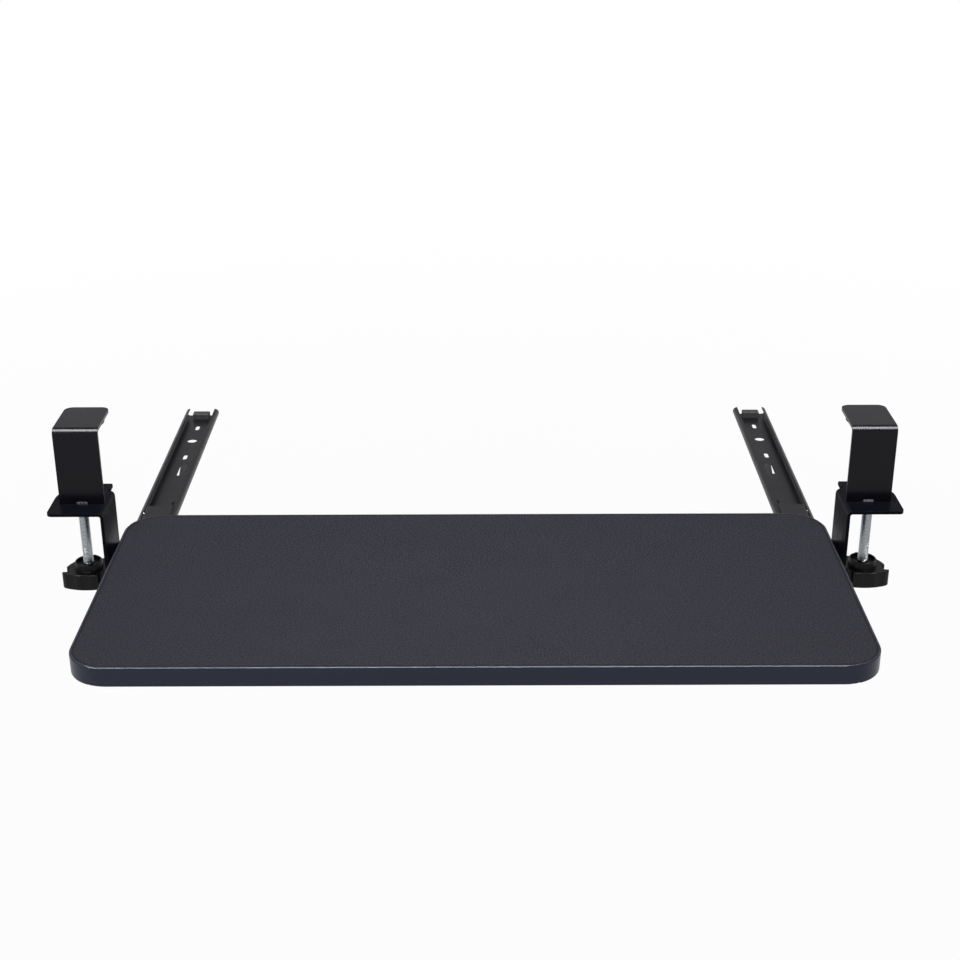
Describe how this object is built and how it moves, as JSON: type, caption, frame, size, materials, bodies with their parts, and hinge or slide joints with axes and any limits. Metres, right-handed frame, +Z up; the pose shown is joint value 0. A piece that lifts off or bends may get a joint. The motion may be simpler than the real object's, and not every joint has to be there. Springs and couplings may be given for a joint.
{
  "type": "under-desk keyboard tray",
  "caption": "Pull-out keyboard tray with rounded corners, hung under a desk's front edge on screw clamps and ball-bearing slides.",
  "frame": {"origin": "middle of the desk's top front edge, which is the line where the jaw pads' undersides meet the jaw strips' rear faces", "axes": "+X to the user's right, +Y away from the user under the desk, +Z up; the tray is fully pulled out towards -Y"},
  "size_m": [0.8164, 0.639, 0.1728],
  "materials": {
    "grey_laminate": "fine-grained dark grey laminate, matt with a soft sheen",
    "backing_laminate": "plain dark grey backing laminate, matt",
    "edge_band": "plain dark grey edge band, satin",
    "board_core": "medium-density fibreboard, hidden under laminate and band",
    "black_steel": "fine-textured black powder coat, semi-gloss",
    "black_bolt": "blackened steel, hex socket",
    "black_rail": "black electro-coated cold-rolled steel, satin",
    "zinc_cage": "zinc-plated thin steel",
    "ball_steel": "polished bearing steel, greased",
    "zinc_screw": "zinc-plated steel, slightly oiled",
    "wood_screw": "zinc-plated pan-head wood screws",
    "knob_plastic": "moulded black plastic, satin",
    "lever_plastic": "moulded black plastic, satin",
    "rubber": "black rubber, matt"
  },
  "bodies": {
    "hanger": {"left_slide_outer_rail": "black_rail", "left_slide_stop": "rubber", "left_hanger_bracket": "black_steel", "left_rail_bolts": "black_bolt", "left_jaw_strip": "black_steel", "left_jaw_weld": "black_steel", "left_jaw_pad": "rubber", "left_clamp_nut": "zinc_screw", "right_slide_outer_rail": "black_rail", "right_slide_stop": "rubber", "right_hanger_bracket": "black_steel", "right_rail_bolts": "black_bolt", "right_jaw_strip": "black_steel", "right_jaw_weld": "black_steel", "right_jaw_pad": "rubber", "right_clamp_nut": "zinc_screw"},
    "tray": {"tray_board": "board_core", "tray_top_laminate": "grey_laminate", "tray_bottom_laminate": "backing_laminate", "tray_edge_band": "edge_band", "left_slide_inner_rail": "black_rail", "left_slide_release": "lever_plastic", "left_tray_screws": "wood_screw", "right_slide_inner_rail": "black_rail", "right_slide_release": "lever_plastic", "right_tray_screws": "wood_screw"},
    "ball_cages": {"left_slide_ball_cage": "zinc_cage", "left_slide_balls": "ball_steel", "right_slide_ball_cage": "zinc_cage", "right_slide_balls": "ball_steel"},
    "left_clamp_disc": {"left_pressure_disc": "zinc_screw", "left_pressure_pad": "rubber"},
    "left_clamp_handle": {"left_clamp_screw": "zinc_screw", "left_clamp_knob": "knob_plastic"},
    "right_clamp_disc": {"right_pressure_disc": "zinc_screw", "right_pressure_pad": "rubber"},
    "right_clamp_handle": {"right_clamp_screw": "zinc_screw", "right_clamp_knob": "knob_plastic"}
  },
  "joints": [
    {"name": "tray_slide", "type": "slide", "parent": "hanger", "child": "tray", "axis": [0, 1, 0], "range_m": [0, 0.265]},
    {"name": "ball_cage_slide", "type": "slide", "parent": "hanger", "child": "ball_cages", "axis": [0, 1, 0], "range_m": [0, 0.1325]},
    {"name": "left_clamp_rise", "type": "slide", "parent": "hanger", "child": "left_clamp_disc", "axis": [0, 0, 1], "range_m": [-0.024, 0.033]},
    {"name": "left_knob_turn", "type": "hinge", "parent": "left_clamp_disc", "child": "left_clamp_handle", "pos_m": [-0.384, 0.022, -0.09], "axis": [0, 0, 1], "range_deg": [-5770, 7930]},
    {"name": "right_clamp_rise", "type": "slide", "parent": "hanger", "child": "right_clamp_disc", "axis": [0, 0, 1], "range_m": [-0.024, 0.033]},
    {"name": "right_knob_turn", "type": "hinge", "parent": "right_clamp_disc", "child": "right_clamp_handle", "pos_m": [0.384, 0.022, -0.09], "axis": [0, 0, 1], "range_deg": [-5770, 7930]}
  ],
  "couplings": [
    {"joint": "ball_cage_slide", "follows": "tray_slide", "ratio": 0.5},
    {"joint": "left_knob_turn", "follows": "left_clamp_rise", "rad_per_m": 4188.8},
    {"joint": "right_knob_turn", "follows": "right_clamp_rise", "rad_per_m": 4188.8}
  ]
}
